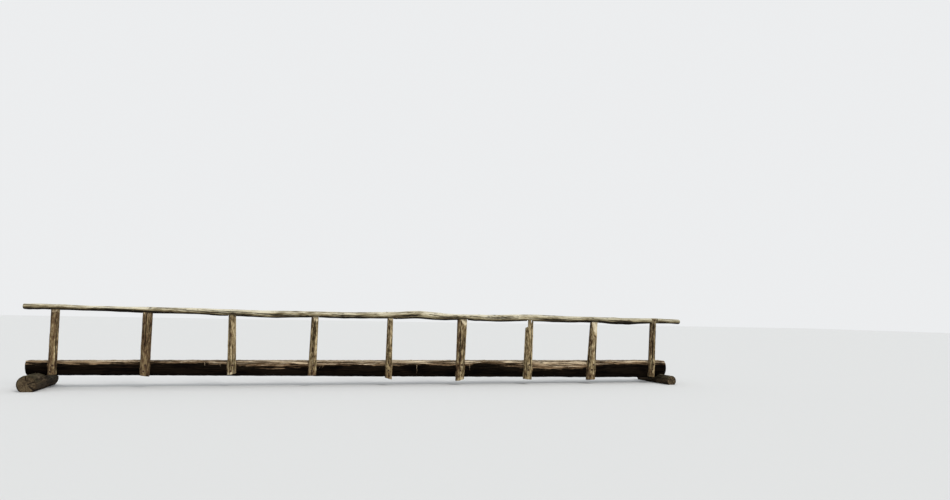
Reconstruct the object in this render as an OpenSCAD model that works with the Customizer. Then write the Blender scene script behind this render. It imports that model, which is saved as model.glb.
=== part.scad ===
// Log footbridge. One tapered log, hewn flat on top, is the tread. Nine split
// posts are let into its near side and carry a handrail of two crooked poles,
// half-lapped over the fifth post. A cross log lies under each end.
// X runs along the span toward the butt of the log, Y away from the handrail
// and Z up. The origin is on the ground, midway along the handrail.

/* [Span] */
// Distance between the centres of neighbouring posts
bay = 1600; // [1400:10:1800]
// Handrail past the first post, at the thin end
rail_over_thin = 488; // [470:2:600]
// Handrail past the last post, at the butt end
rail_over_butt = 712; // [600:2:900]
// Log past the first post, at the thin end
log_over_thin = 452; // [440:2:460]
// Log past the last post, at the butt end
log_over_butt = 392; // [360:2:440]

/* [Hewn log] */
// Diameter of the round log at its thin end
log_thin_d = 346; // [330:2:400]
// Diameter of the round log at its butt
log_butt_d = 486; // [440:2:520]
// Depth of wood hewn off the top to make the tread
hewn_depth = 65; // [50:1:80]
// How far the log bends sideways
log_sway = 14; // [0:1:30]
// Depth of the housings that the posts are let into
dap_depth = 35; // [20:1:45]
// Depth of the flat seats under the log, over the cross logs
log_seat_cut = 25; // [15:1:30]

/* [Posts] */
// Thickness of a post, from its flat back to its rounded front
post_thick = 100; // [90:1:120]
// Depth of the sloping cut at the top front of a post
bevel_depth = 42; // [20:1:50]
// Trim along the lower front edge of a post
foot_trim = 26; // [10:1:40]
// Thickness of the ear of the last post, which laps in front of the rail
ear_thick = 34; // [25:1:45]
// How far the top of that ear stays below the top of the rail
ear_drop = 16; // [8:1:40]
// Width of the split that opens in the top of the seventh post
split_w = 54; // [10:1:60]
// Length of that split, down from the top of the post
split_h = 230; // [60:5:300]
// Distance of that split to the right of the post's middle
split_off = 36; // [25:1:45]
// Width of the shoulder that has broken off on its left
broken_w = 58; // [10:1:65]
// Length of that shoulder, down from the top of the post
broken_h = 150; // [40:5:220]
// Fall of the break toward the edge of the post
broken_fall = 32; // [0:1:50]

/* [Handrail] */
// Height of the top of the handrail above the tread
rail_height = 1045; // [950:5:1100]
// Diameter of the thin-end pole at its tip
pole_tip_d = 96; // [90:1:120]
// Diameter of the thin-end pole at the lap
pole_lap_d = 142; // [130:1:155]
// Diameter of the butt-end pole at the lap
butt_pole_lap_d = 150; // [140:1:165]
// Diameter of the butt-end pole at its tip
butt_pole_tip_d = 120; // [105:1:135]
// Height of the hump in the butt-end pole, just past the lap
hump = 46; // [0:1:60]
// Length of the half lap over the middle post
lap_length = 320; // [240:5:400]
// Depth of the flat seat cut in a pole over each post
rail_seat_cut = 18; // [10:1:25]
// Side-to-side crookedness of the poles
pole_sway = 12; // [0:1:25]

/* [Cross logs] */
// Length of the cross logs
sill_length = 1400; // [1200:10:1600]
// Diameter of the cross log under the thin end
sill_thin_d = 340; // [320:2:350]
// Diameter of the cross log under the butt
sill_butt_d = 250; // [240:2:256]
// Height of the flat hewn under each cross log
sill_base_cut = 36; // [24:1:44]
// Depth of the saddle in the cross log under the thin end
saddle_depth = 26; // [20:1:40]

/* [Fits] */
// Clearance between hewn faces that seat on each other
fit = 0.2; // [0.1:0.05:0.3]
// Room beside the log in the saddle, and beside the cross log in its seat
side_room = 4; // [2:1:8]

/* [Hidden] */

// One value for each post, from the thin end of the log to its butt
post_top_w = [140, 178, 144, 146, 120, 226, 180, 176, 156];
post_foot_w = [150, 178, 174, 170, 152, 196, 212, 226, 170];
post_lean = [2.0, 1.9, -0.3, 2.0, 0.8, 1.5, 1.3, 2.6, 0.9];
foot_drop = [281, 315, 295, 325, 409, 455, 431, 459, 400];
bevel_len = [70, 90, 0, 150, 60, 110, 0, 300, 0];

// Turn of that sloping cut toward the butt of the log, and how much higher the
// foot ends on that side, or on the other side where it is negative
bevel_turn = [0, 10, 0, 20, 0, 24, 0, 8, 0];
foot_slant = [15, -20, 35, 20, -40, 45, -10, 25, -20];

// Rise of the rail top over its usual height, and how much thicker the poles
// are than an even taper: a value for every half bay, the first of them half a
// bay before the first post
rail_rise = [22, 24, 5, 6, 6, -10, -17, -13, -16, 0, -5, -15, -11, 14, -6, -13, -25, -20, -36];
pole_swell = [0, 8, -7, 10, 7, 9, 20, -1, -3, 0, 25, -17, 12, 17, 15, 4, 29, -1, -14];

// Where the pieces stand along the span
post_count = len(post_top_w);
last = post_count - 1;
lap_post = 4;
split_post = 6;
row = last * bay;
total = row + rail_over_thin + rail_over_butt;
x_first = rail_over_thin - total / 2;
x_last = x_first + row;
rail_x0 = x_first - rail_over_thin;
rail_x1 = x_last + rail_over_butt;
log_x0 = x_first - log_over_thin;
log_x1 = x_last + log_over_butt;
sill_thin_x = log_x0 + sill_thin_d / 2 + 10;
sill_butt_x = log_x1 - sill_butt_d / 2 - 10;
function post_x(k) = x_first + k * bay;
function bays(x) = (x - x_first) / bay;

// Smooth curve through evenly spaced values
function value(list, i) = list[max(0, min(len(list) - 1, i))];
function curve_at(a, b, c, d, t) =
    b + 0.5 * t * (c - a + t * (2 * a - 5 * b + 4 * c - d + t * (3 * (b - c) + d - a)));
function curve(list, s) =
    let (i = floor(s))
    curve_at(value(list, i - 1), value(list, i), value(list, i + 1), value(list, i + 2), s - i);
function mix(a, b, t) = a + (b - a) * t;
function chord(r, off) = abs(off) >= r ? 0 : sqrt(r * r - off * off);

// Form of the log
function log_r(x) = mix(log_thin_d, log_butt_d, (x - log_x0) / (log_x1 - log_x0)) / 2;
function log_y(x) = log_sway * sin(bays(x) * 50 + 20);
function log_depth(x) = 2 * log_r(x) - hewn_depth;

// Levels, from the ground up
sill_thin_top = sill_thin_d - sill_base_cut;
sill_butt_top = sill_butt_d - sill_base_cut;
seat_thin_z = sill_thin_top - saddle_depth;
tread_z = seat_thin_z - log_seat_cut + log_depth(sill_thin_x);
seat_butt_z = tread_z - log_depth(sill_butt_x) + log_seat_cut;

// Form and path of the two poles
function half_bays(x) = 2 * bays(x) + 1;
function thin_pole_r(x) =
    (mix(pole_tip_d, pole_lap_d, (x - rail_x0) / (post_x(lap_post) - rail_x0))
        + curve(pole_swell, half_bays(x))) / 2;
function butt_pole_r(x) =
    (mix(butt_pole_lap_d, butt_pole_tip_d, (x - post_x(lap_post)) / (rail_x1 - post_x(lap_post)))
        + curve(pole_swell, half_bays(x))) / 2;
function rail_top(x) = tread_z + rail_height + curve(rail_rise, half_bays(x));
function rail_y(x) =
    log_y(x) - log_r(x) + dap_depth - post_thick / 2 + pole_sway * sin(bays(x) * 117);
function hump_at(x) = hump * exp(-pow((bays(x) - lap_post - 0.4) / 0.26, 2));
function pole_r(k, x) = k <= lap_post ? thin_pole_r(x) : butt_pole_r(x);

// Where each post meets the log and the rail
function dap_y(k) = log_y(post_x(k)) - log_r(post_x(k)) + dap_depth;
function seat_z(k) =
    rail_top(post_x(k)) - 2 * pole_r(k, post_x(k)) + rail_seat_cut + (k > lap_post ? hump_at(post_x(k)) : 0);
function lean_x(k, z) = post_x(k) + (z - tread_z) * tan(post_lean[k]);
function post_w(k, z) =
    mix(post_foot_w[k], post_top_w[k],
        (z - tread_z + foot_drop[k]) / (seat_z(k) - tread_z + foot_drop[k]));
lap_z = rail_top(post_x(lap_post)) - thin_pole_r(post_x(lap_post));

// Solid through a row of rings, each ring turning the same way about the axis
module loft(rings) {
    n = len(rings[0]);
    m = len(rings);
    pts = [for (ring = rings) for (p = ring) p];
    sides = [for (i = [0 : m - 2]) for (j = [0 : n - 1])
        let (a = i * n + j, b = i * n + (j + 1) % n)
        each [[a + n, b + n, b], [a + n, b, a]]];
    low = [for (j = [0 : n - 1]) j];
    high = [for (j = [n - 1 : -1 : 0]) (m - 1) * n + j];
    polyhedron(points = pts, faces = concat(sides, [low, high]));
}

// Box given by its two corners
module block(a, b) {
    translate(a) cube(b - a);
}

// Tapered round log from corner to corner of its hewn flat
log_rings = 28;
log_sides = 34;
function log_ring(x) =
    let (r = log_r(x), half = acos((r - hewn_depth) / r), cz = tread_z + hewn_depth - r)
    [for (j = [0 : log_sides])
        let (t = 90 + half + (360 - 2 * half) * j / log_sides)
        [x, log_y(x) + r * cos(t), cz + r * sin(t)]];

module hewn_log() {
    reach = log_butt_d;
    color([0.36, 0.29, 0.23])
    difference() {
        loft([for (i = [0 : log_rings]) log_ring(mix(log_x0, log_x1, i / log_rings))]);
        for (k = [0 : last]) dap(k, reach);
        sill_seat(sill_thin_x, sill_thin_d, seat_thin_z, reach);
        sill_seat(sill_butt_x, sill_butt_d, seat_butt_z, reach);
    }
}

// Housing in the side of the log for post k, leaning as the post does
module dap(k, reach) {
    w = post_foot_w[k] + 2 * fit;
    translate([post_x(k), dap_y(k), tread_z])
    rotate([0, post_lean[k], 0])
    block([-w / 2, -reach, -2 * reach], [w / 2, 0, reach]);
}

// Flat seat across the underside of the log, over a cross log
module sill_seat(x, d, z, reach) {
    off = z - log_seat_cut - (d / 2 - sill_base_cut);
    half = (off < 0 ? d / 2 : chord(d / 2, off)) + side_room;
    block([x - half, -reach, z - reach], [x + half, reach, z]);
}

// Section of a split post: flat back, rounded front
post_front = 14;
function post_ring(w, z) =
    [for (j = [0 : post_front])
        let (t = -180 * j / post_front)
        [sign(cos(t)) * w / 2 * pow(abs(cos(t)), 0.8), -post_thick * pow(abs(sin(t)), 0.8), z]];

// Post k, standing on its own axis, rough along its length
post_rings = 7;
module post_blank(k, top) {
    z0 = -foot_drop[k];
    rings = [for (i = [0 : post_rings])
        let (z = mix(z0, top, i / post_rings), w = post_w(k, z + tread_z))
        post_ring(w - 5 * (1 + sin(i * 97 + k * 61)) * (i % post_rings == 0 ? 0 : 1), z)];
    loft([for (ring = rings) [for (j = [post_front : -1 : 0]) ring[j]]]);
}

module post(k) {
    reach = 2 * post_thick + post_foot_w[k];
    cap = seat_z(k) - tread_z;
    color([0.55, 0.45, 0.36])
    translate([post_x(k), dap_y(k) - fit, tread_z])
    difference() {
        rotate([0, post_lean[k], 0])
        difference() {
            post_blank(k, cap + (k == last ? reach : post_thick));
            if (bevel_len[k] > 0) bevel(k, cap, reach);
            foot_cuts(k, reach);
            if (k == split_post) split_top(k, cap, reach);
        }
        post_top(k, cap, reach);
    }
}

// Sloping cut across the top front of a post
module bevel(k, cap, reach) {
    translate([0, -post_thick + bevel_depth, cap])
    rotate([0, 0, bevel_turn[k]])
    rotate([-atan(bevel_depth / bevel_len[k]), 0, 0])
    block([-2 * reach, -reach, -3 * bevel_len[k]], [2 * reach, 0, reach]);
}

// Trim along the lower front edge of a post, and the slanting end of its foot
module foot_cuts(k, reach) {
    translate([0, -post_thick, -foot_drop[k] + foot_trim])
    rotate([45, 0, 0])
    block([-reach, -reach, -reach], [reach, 0, 0]);
    translate([-sign(foot_slant[k]) * post_foot_w[k] / 2, 0, -foot_drop[k]])
    rotate([0, -atan(foot_slant[k] / post_foot_w[k]), 0])
    block([-reach, -reach, -reach], [reach, reach, 0]);
}

// V-shaped split down through the top of a post, and the broken shoulder on
// its left, which leave two arms under the rail
module split_top(k, cap, reach) {
    edge = -post_w(k, seat_z(k)) / 2;
    arm = edge + broken_w;
    half = split_w / 2 * (1 + reach / split_h);
    fall = broken_fall * (1 + reach / broken_w);
    translate([0, reach, cap])
    rotate([90, 0, 0])
    linear_extrude(height = 2 * reach) {
        polygon([[split_off, -split_h], [split_off + half, reach], [split_off - half, reach]]);
        polygon([[arm, -broken_h], [arm, reach], [edge - reach, reach], [edge - reach, -broken_h - fall]]);
    }
}

// Level top that the pole sits on. The last post keeps an ear in front.
module post_top(k, cap, reach) {
    if (k == last) {
        ear_z = rail_top(post_x(k)) - tread_z - ear_drop;
        block([-reach, -post_thick + ear_thick, cap], [reach, reach, cap + 3 * reach]);
        block([-reach, -reach, ear_z], [reach, reach, ear_z + 3 * reach]);
    } else {
        block([-reach, -reach, cap], [reach, reach, cap + 3 * reach]);
    }
}

// Round crooked pole along the rail path
pole_sides = 16;
pole_step = 178;
function pole_ring(x, r, rise) =
    let (cz = rail_top(x) - r + rise)
    [for (j = [0 : pole_sides - 1])
        let (t = 360 * (j + 0.5) / pole_sides, q = r * (1 - 0.03 * (1 + sin(bays(x) * 401 + 2 * t))))
        [x, rail_y(x) + q * cos(t), cz + q * sin(t)]];

module rail_pole_thin() {
    x1 = post_x(lap_post) + lap_length / 2;
    n = ceil((x1 - rail_x0) / pole_step);
    reach = pole_lap_d;
    color([0.66, 0.60, 0.49])
    difference() {
        loft([for (i = [0 : n]) let (x = mix(rail_x0, x1, i / n)) pole_ring(x, thin_pole_r(x), 0)]);
        for (k = [0 : lap_post]) rail_seat(k, reach);
        block([x1 - lap_length - fit, -4 * reach, lap_z - fit / 2],
              [x1 + reach, 4 * reach, lap_z + 3 * reach]);
    }
}

module rail_pole_butt() {
    x0 = post_x(lap_post) - lap_length / 2;
    n = ceil((rail_x1 - x0) / pole_step);
    reach = butt_pole_lap_d;
    color([0.62, 0.55, 0.44])
    difference() {
        loft([for (i = [0 : n]) let (x = mix(x0, rail_x1, i / n))
            pole_ring(x, butt_pole_r(x), hump_at(x))]);
        for (k = [lap_post + 1 : last]) rail_seat(k, reach);
        block([x0 - reach, -4 * reach, lap_z - 3 * reach],
              [x0 + lap_length + fit, 4 * reach, lap_z + fit / 2]);
        ear_housing(reach);
    }
}

// Flat seat under a pole, over post k
module rail_seat(k, reach) {
    z = seat_z(k);
    x = lean_x(k, z);
    half = post_w(k, z) / 2 / cos(post_lean[k]) + side_room;
    block([x - half, -4 * reach, z - 2 * reach], [x + half, 4 * reach, z + fit]);
}

// Flat on the front of the pole, behind the ear of the last post
module ear_housing(reach) {
    z = seat_z(last);
    half = post_w(last, z) / 2 / cos(post_lean[last]) + side_room;
    y = dap_y(last) - post_thick + ear_thick;
    block([lean_x(last, z) - half, y - 3 * reach, z - reach],
          [lean_x(last, z) + half, y, z + 3 * reach]);
}

// Cross log: round, hewn flat underneath, with a saddle for the long log
module sill(x, d, seat) {
    r = d / 2;
    cz = r - sill_base_cut;
    top = d - sill_base_cut;
    half = chord(log_r(x), log_r(x) - log_seat_cut - (top - seat)) + side_room;
    difference() {
        translate([x, sill_length / 2, cz])
        rotate([90, 0, 0])
        cylinder(r = r, h = sill_length, $fn = 96);
        block([x - d, -sill_length, -d], [x + d, sill_length, 0]);
        block([x - d, log_y(x) - half, seat - fit], [x + d, log_y(x) + half, top + d]);
    }
}

module sill_thin() {
    color([0.33, 0.27, 0.21]) sill(sill_thin_x, sill_thin_d, seat_thin_z);
}

module sill_butt() {
    color([0.33, 0.27, 0.21]) sill(sill_butt_x, sill_butt_d, seat_butt_z);
}

hewn_log();
post(0);  // post_1
post(1);  // post_2
post(2);  // post_3
post(3);  // post_4
post(4);  // post_5
post(5);  // post_6
post(6);  // post_7
post(7);  // post_8
post(8);  // post_9
rail_pole_thin();
rail_pole_butt();
sill_thin();
sill_butt();
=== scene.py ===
# %% [markdown]
# # A log footbridge
# The bridge is one long log, hewn flat on top, with nine split posts let into
# its near side and a handrail of two crooked poles. A short cross log carries
# each end. Everything here is old, wet, split and weathered wood, so the
# lesson is about wood: how a plain cylinder becomes a real timber, and how one
# set of textures gives it grain, cracks, stains, painted light and shade, and
# end rings.
#
# Every piece starts as a primitive, is cut into rings in edit mode, and is
# then pulled into shape by a short function that knows the timber. Joints are
# cut with Boolean modifiers, as a carpenter would cut them with a saw.

from array import array
from collections import Counter
from math import acos, atan2, cos, exp, floor, hypot, pi, radians, sin, sqrt, tan
from random import Random

import bmesh
import bpy
from mathutils import Matrix, Vector, noise


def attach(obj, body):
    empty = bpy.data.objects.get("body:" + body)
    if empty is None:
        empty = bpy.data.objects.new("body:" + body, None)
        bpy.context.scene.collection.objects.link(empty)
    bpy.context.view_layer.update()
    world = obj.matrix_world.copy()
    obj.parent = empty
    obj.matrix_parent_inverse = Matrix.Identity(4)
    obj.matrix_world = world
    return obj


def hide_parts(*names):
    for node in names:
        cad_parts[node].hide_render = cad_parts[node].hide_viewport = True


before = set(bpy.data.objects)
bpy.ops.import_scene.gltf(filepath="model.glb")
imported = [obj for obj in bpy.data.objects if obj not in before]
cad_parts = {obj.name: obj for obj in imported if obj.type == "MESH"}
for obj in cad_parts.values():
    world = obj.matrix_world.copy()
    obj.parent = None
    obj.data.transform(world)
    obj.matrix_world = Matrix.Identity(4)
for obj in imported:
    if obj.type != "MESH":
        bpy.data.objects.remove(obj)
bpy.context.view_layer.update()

# %% [markdown]
# ## Camera
# The photograph was taken from a little above the tread and about fifteen
# metres away, turned toward the butt of the log, so that the posts stand
# closer together on the right. The place and turn were worked out from the
# nine posts, which are one bay apart, and from the slope of the handrail. The
# camera looks level, and a small lens shift lifts the view, so upright posts
# stay upright. It leans by about a degree, as a hand-held picture does.

# %% Camera
photo_width, photo_height = 950, 500
focal_pixels = 690
horizon_row = 315.3
camera_place = Vector((-2.66, -14.96, 1.551))
camera_turn = radians(16.83)
camera_roll = radians(1.14)

sensor_width = 36.0
across = Vector((cos(camera_turn), -sin(camera_turn), 0))
forward = Vector((sin(camera_turn), cos(camera_turn), 0))
upward = Vector((0, 0, 1))
camera_x = across * cos(camera_roll) + upward * sin(camera_roll)
camera_y = upward * cos(camera_roll) - across * sin(camera_roll)

lens = bpy.data.cameras.new("photo_view")
lens.sensor_width = sensor_width
lens.lens = focal_pixels / photo_width * sensor_width
lens.shift_y = (horizon_row - photo_height / 2) / photo_width
camera = bpy.data.objects.new("photo_view", lens)
camera.matrix_world = Matrix.Translation(camera_place) @ Matrix(
    (camera_x, camera_y, -forward)).transposed().to_4x4()
bpy.context.collection.objects.link(camera)
bpy.context.scene.camera = camera
print("lens", round(lens.lens, 2), "mm, shift", round(lens.shift_y, 4))

# %% [markdown]
# ## Light and floor
# A studio with a pale floor and an even, bright sky shows wood honestly. One
# broad sun from high on the right gives the posts a lit and a shaded side. The
# strengths add up so that a colour comes out about as bright as it is written.
# What the camera sees of the sky is made a pale grey through Light Path,
# which leaves the light on the bridge alone.

# %% Light and floor
scene = bpy.context.scene
scene.view_settings.view_transform = "Standard"

sky = bpy.data.worlds.new("studio_sky")
scene.world = sky
sky.use_nodes = True
sky_tree = sky.node_tree
sky_tree.nodes.clear()
sky_light = sky_tree.nodes.new("ShaderNodeBackground")
sky_light.inputs["Color"].default_value = (0.94, 0.97, 1.0, 1)
sky_light.inputs["Strength"].default_value = 0.78
sky_seen = sky_tree.nodes.new("ShaderNodeBackground")
sky_seen.inputs["Color"].default_value = (0.84, 0.85, 0.86, 1)
sky_rays = sky_tree.nodes.new("ShaderNodeLightPath")
sky_mix = sky_tree.nodes.new("ShaderNodeMixShader")
sky_out = sky_tree.nodes.new("ShaderNodeOutputWorld")
sky_tree.links.new(sky_rays.outputs["Is Camera Ray"], sky_mix.inputs[0])
sky_tree.links.new(sky_light.outputs[0], sky_mix.inputs[1])
sky_tree.links.new(sky_seen.outputs[0], sky_mix.inputs[2])
sky_tree.links.new(sky_mix.outputs[0], sky_out.inputs[0])

sun_data = bpy.data.lights.new("soft_sun", "SUN")
sun_data.energy = 1.5
sun_data.angle = radians(24)
sun_data.color = (1.0, 0.975, 0.94)
sun = bpy.data.objects.new("soft_sun", sun_data)
sun.rotation_euler = (radians(40), radians(28), 0)
bpy.context.collection.objects.link(sun)

bpy.ops.object.select_all(action="DESELECT")
bpy.ops.mesh.primitive_plane_add(size=240, location=(0, 0, 0))
floor_plane = bpy.context.object
floor_plane.name = "studio_floor"
floor_finish = bpy.data.materials.new("pale_floor")
floor_finish.use_nodes = True
floor_shader = floor_finish.node_tree.nodes["Principled BSDF"]
floor_shader.inputs["Base Color"].default_value = (0.72, 0.72, 0.71, 1)
floor_shader.inputs["Roughness"].default_value = 0.9
floor_plane.data.materials.append(floor_finish)
print("floor at z = 0")

# %% [markdown]
# ## The sizes of the bridge
# These are the driving sizes of the construction, in metres, and the rules
# that place every piece: how thick the log is at any point along it, how far
# it bends, and where the handrail runs. Every later cell asks these functions
# and no piece is placed by eye.

# %% Driving sizes
bay = 1.6
rail_over_thin, rail_over_butt = 0.488, 0.712
log_over_thin, log_over_butt = 0.452, 0.392
log_thin_d, log_butt_d = 0.346, 0.486
hewn_depth, log_sway, dap_depth, log_seat_cut = 0.065, 0.014, 0.035, 0.025
post_thick, bevel_depth, foot_trim = 0.100, 0.042, 0.026
ear_thick, ear_drop = 0.034, 0.016
rail_height = 1.045
split_w, split_h, split_off = 0.054, 0.230, 0.036
broken_w, broken_h, broken_fall = 0.058, 0.150, 0.032
pole_tip_d, pole_lap_d = 0.096, 0.142
butt_pole_lap_d, butt_pole_tip_d = 0.150, 0.120
hump, lap_length, rail_seat_cut, pole_sway = 0.046, 0.320, 0.018, 0.012
sill_length, sill_thin_d, sill_butt_d = 1.400, 0.340, 0.250
sill_base_cut, saddle_depth = 0.036, 0.026
side_room, fit = 0.004, 0.0002

post_top_w = [0.140, 0.178, 0.144, 0.146, 0.120, 0.226, 0.180, 0.176, 0.156]
post_foot_w = [0.150, 0.178, 0.174, 0.170, 0.152, 0.196, 0.212, 0.226, 0.170]
post_lean = [radians(a) for a in (2.0, 1.9, -0.3, 2.0, 0.8, 1.5, 1.3, 2.6, 0.9)]
foot_drop = [0.281, 0.315, 0.295, 0.325, 0.409, 0.455, 0.431, 0.459, 0.400]
bevel_length = [0.070, 0.090, 0, 0.150, 0.060, 0.110, 0, 0.300, 0]
bevel_turn = [radians(a) for a in (0, 10, 0, 20, 0, 24, 0, 8, 0)]
foot_slant = [0.015, -0.020, 0.035, 0.020, -0.040, 0.045, -0.010, 0.025, -0.020]

# One value every half bay, the first of them half a bay before the first post
rail_rise = [0.022, 0.024, 0.005, 0.006, 0.006, -0.010, -0.017, -0.013, -0.016, 0, -0.005,
             -0.015, -0.011, 0.014, -0.006, -0.013, -0.025, -0.020, -0.036]
pole_swell = [0, 0.008, -0.007, 0.010, 0.007, 0.009, 0.020, -0.001, -0.003, 0, 0.025,
              -0.017, 0.012, 0.017, 0.015, 0.004, 0.029, -0.001, -0.014]

last = len(post_top_w) - 1
lap_post, split_post = 4, 6
x_first = rail_over_thin - (last * bay + rail_over_thin + rail_over_butt) / 2
x_last = x_first + last * bay
rail_x0, rail_x1 = x_first - rail_over_thin, x_last + rail_over_butt
log_x0, log_x1 = x_first - log_over_thin, x_last + log_over_butt
sill_thin_x = log_x0 + sill_thin_d / 2 + 0.010
sill_butt_x = log_x1 - sill_butt_d / 2 - 0.010
print("handrail from", rail_x0, "to", rail_x1, "log from", log_x0, "to", log_x1)


# %% Where things are along the span
def mix(a, b, t):
    return a + (b - a) * t


def clamp(value, low=0.0, high=1.0):
    return max(low, min(high, value))


def post_x(k):
    return x_first + k * bay


def bays(x):
    return (x - x_first) / bay


def curve(values, place):
    """Smooth curve through evenly spaced values."""
    i = floor(place)
    a, b, c, d = (values[max(0, min(len(values) - 1, i + n))] for n in (-1, 0, 1, 2))
    t = place - i
    return b + 0.5 * t * (c - a + t * (2 * a - 5 * b + 4 * c - d + t * (3 * (b - c) + d - a)))


def log_r(x):
    return mix(log_thin_d, log_butt_d, (x - log_x0) / (log_x1 - log_x0)) / 2


def log_y(x):
    return log_sway * sin(radians(bays(x) * 50 + 20))


def log_height(x):
    return 2 * log_r(x) - hewn_depth


seat_thin_z = sill_thin_d - sill_base_cut - saddle_depth
tread_z = seat_thin_z - log_seat_cut + log_height(sill_thin_x)
seat_butt_z = tread_z - log_height(sill_butt_x) + log_seat_cut
print("tread at", round(tread_z, 4))


# %% Where the handrail and the posts are
def half_bays(x):
    return 2 * bays(x) + 1


def thin_pole_r(x):
    share = (x - rail_x0) / (post_x(lap_post) - rail_x0)
    return (mix(pole_tip_d, pole_lap_d, share) + curve(pole_swell, half_bays(x))) / 2


def butt_pole_r(x):
    share = (x - post_x(lap_post)) / (rail_x1 - post_x(lap_post))
    return (mix(butt_pole_lap_d, butt_pole_tip_d, share) + curve(pole_swell, half_bays(x))) / 2


def rail_top(x):
    return tread_z + rail_height + curve(rail_rise, half_bays(x))


def rail_y(x):
    sway = pole_sway * sin(radians(bays(x) * 117))
    return log_y(x) - log_r(x) + dap_depth - post_thick / 2 + sway


def hump_at(x):
    return hump * exp(-((bays(x) - lap_post - 0.4) / 0.26) ** 2)


def dap_y(k):
    return log_y(post_x(k)) - log_r(post_x(k)) + dap_depth


def seat_z(k):
    x = post_x(k)
    radius = thin_pole_r(x) if k <= lap_post else butt_pole_r(x)
    return rail_top(x) - 2 * radius + rail_seat_cut + (hump_at(x) if k > lap_post else 0)


def post_w(k, z):
    share = (z - tread_z + foot_drop[k]) / (seat_z(k) - tread_z + foot_drop[k])
    return mix(post_foot_w[k], post_top_w[k], share)


lap_z = rail_top(post_x(lap_post)) - thin_pole_r(post_x(lap_post))
print("rail seats at", [round(seat_z(k), 3) for k in range(last + 1)])

# %% [markdown]
# ## From a cylinder to a timber
# A timber needs many rings along it, for its crookedness and its cracks, and
# rings on its sawn ends too. A cylinder primitive gives the start. Its long
# edges are cut with Subdivide Edge-Ring, and its end faces are inset several
# times and poked, so that the ends can be rough as well. All of it is still a
# cylinder one unit long and one unit in radius, which makes the next step
# simple: a point's height says how far along the timber it is, its angle says
# which side it is on, and its distance from the axis is 1 on the skin and less
# on the ends.


# %% Cylinder with rings
def unit_timber(name, sides, cuts, end_rings):
    """Upright cylinder of one unit, in many rings along it and on its ends."""
    bpy.ops.object.select_all(action="DESELECT")
    bpy.ops.mesh.primitive_cylinder_add(
        vertices=sides, radius=1, depth=1, end_fill_type="NGON", location=(0, 0, 0.5))
    timber = bpy.context.object
    timber.name = name
    timber.data.name = name
    bpy.ops.object.transform_apply(location=True)
    bpy.ops.object.mode_set(mode="EDIT")
    bpy.ops.mesh.select_mode(type="EDGE")
    shape = bmesh.from_edit_mesh(timber.data)
    for edge in shape.edges:
        edge.select_set(abs(edge.verts[0].co.z - edge.verts[1].co.z) > 0.5)
    bmesh.update_edit_mesh(timber.data)
    bpy.ops.mesh.subdivide_edgering(number_cuts=cuts, interpolation="LINEAR", smoothness=0)
    bpy.ops.mesh.select_mode(type="FACE")
    shape = bmesh.from_edit_mesh(timber.data)
    for face in shape.faces:
        face.select_set(abs(face.normal.z) > 0.5)
    bmesh.update_edit_mesh(timber.data)
    for _ in range(end_rings):
        bpy.ops.mesh.inset(thickness=1 / (end_rings + 1))
    bpy.ops.mesh.poke()
    bpy.ops.object.mode_set(mode="OBJECT")
    return timber


# %% [markdown]
# ## Pulling the cylinder into shape
# A short function for each kind of timber says where its skin is, for a place
# along it (0 to 1) and around it (0 to 1). A second one gives the heart of the
# timber there, and the sawn ends lie between the two. The functions also leave
# marks on the mesh, which the finish reads later: **crack** at the bottom of
# drying cracks, where shade is painted, and on dark knot cores, **fresh** on
# pale cut faces, **stain and shade** on bark and damp skin and where shade is
# painted, as on the lower log, the undersides of the rail and the left sides of
# the posts (0 where brown begins, 1 where black begins), **silver** on wood that
# has gone grey and **sawn** on the ends, where the growth rings show. Marks made
# by the same rule as the shape always lie where the shape is, which a painted
# texture wouldn't.

# %% Shaping
mark_names = ("crack", "fresh", "stain_and_shade", "silver", "sawn")


def new_marks(mesh):
    """Add the marks to a mesh, and hand them back in their order."""
    for name in mark_names:
        mesh.attributes.new(name, "FLOAT", "POINT")
    return [mesh.attributes[name] for name in mark_names]


def reshape(timber, sides, skin, heart, axis, seed):
    """Move each point of a unit timber to its place, and keep its marks."""
    mesh = timber.data
    marks = new_marks(mesh)
    for vertex in mesh.vertices:
        x, y, along = vertex.co
        along, out = clamp(along), min(1.0, hypot(x, y))
        around = (round(atan2(y, x) / (2 * pi) * sides) % sides) / sides
        place, *values = skin(along, around)
        values.append(0.0)
        if out < 0.999:
            inward, split = end_face(along, around, out, seed)
            middle = heart(along)
            place = middle + (place - middle) * out + axis * inward
            values = [split, 0.2, out * 1.2 - 1.15, 0.3, 1.0]
        vertex.co = place
        for layer, value in zip(marks, values):
            layer.data[vertex.index].value = value
    mesh.update()


def end_face(along, around, out, seed):
    """How far a sawn end is worn in, with cracks that run out from the heart."""
    chance = Random(seed + round(along))
    split = 0.0
    for _ in range(7):
        angle, start, depth = chance.random(), chance.uniform(0.05, 0.5), chance.uniform(0.4, 1)
        gap = abs((around - angle + 0.5) % 1 - 0.5) * 2 * pi * out
        if out > start:
            split = max(split, depth * clamp(1 - gap / 0.09))
    turn = 2 * pi * around
    rough = 0.004 * noise.noise(Vector((out * 5 * cos(turn), out * 5 * sin(turn), seed)))
    inward = abs(rough) + 0.014 * split
    return (inward if along < 0.5 else -inward), split


# %% [markdown]
# ## Cracks, knots and rough fibre
# Old timbers have three kinds of detail that show from a few metres. Drying
# cracks are long, narrow and follow the grain, which often winds a little
# round the timber. Knots are low swellings with a dark dimple. Fibre is a fine
# ribbing, many times longer than it is wide. The first two are lists with a
# place and a size, drawn from a seeded Random so that they come out the same
# each time. The third is noise that is stretched along the timber.


# %% Cracks and knots
def some_cracks(seed, count, length, girth, reach=(0.3, 1.5), width=(0.010, 0.020)):
    """Cracks as (start, end, place around, width, drift), in metres."""
    chance = Random(seed)
    cracks = []
    for _ in range(count):
        start = chance.uniform(-0.2, length - 0.2)
        cracks.append((start, start + chance.uniform(*reach), chance.uniform(0, girth),
                       chance.uniform(*width), chance.uniform(0, 50)))
    return cracks


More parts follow.
